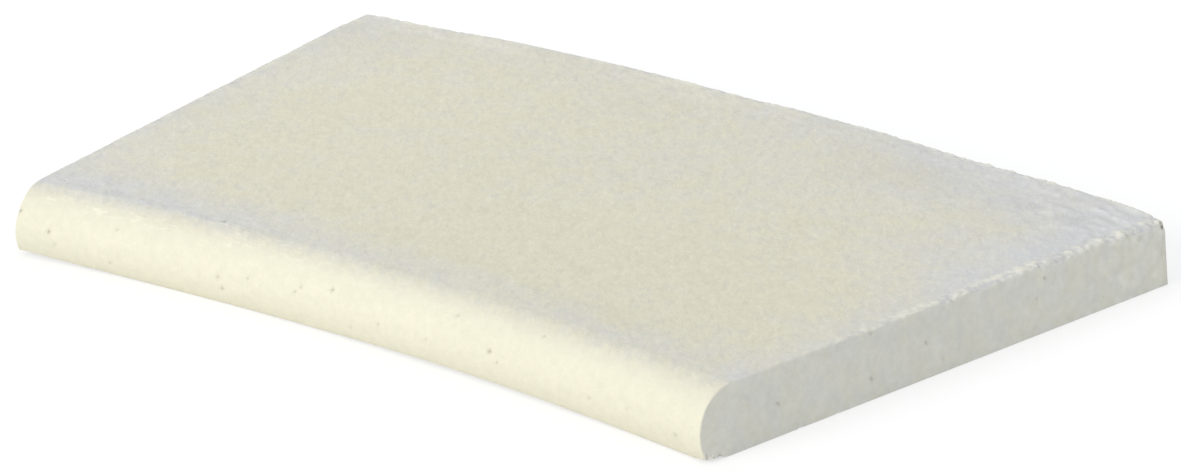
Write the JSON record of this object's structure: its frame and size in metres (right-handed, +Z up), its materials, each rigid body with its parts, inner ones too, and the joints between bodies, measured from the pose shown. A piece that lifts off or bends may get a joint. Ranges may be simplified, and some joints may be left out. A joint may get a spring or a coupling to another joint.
{
  "type": "curved pool coping stone",
  "caption": "Cast stone coping slab curved in plan, with a rounded nose along its concave pool edge, a gently wavy dressed top and worn back edges.",
  "frame": {"origin": "centre of the bounding box's bottom face, on the flat underside", "axes": "+X along the stone's length, +Y from the rounded pool edge to the back, +Z up"},
  "size_m": [0.4912, 0.3236, 0.0331],
  "materials": {
    "cast_stone": "pale cream cast stone, matt, with a dressed top and smooth moulded nose and ends"
  },
  "bodies": {
    "root": {"coping_stone": "cast_stone"}
  },
  "joints": []
}
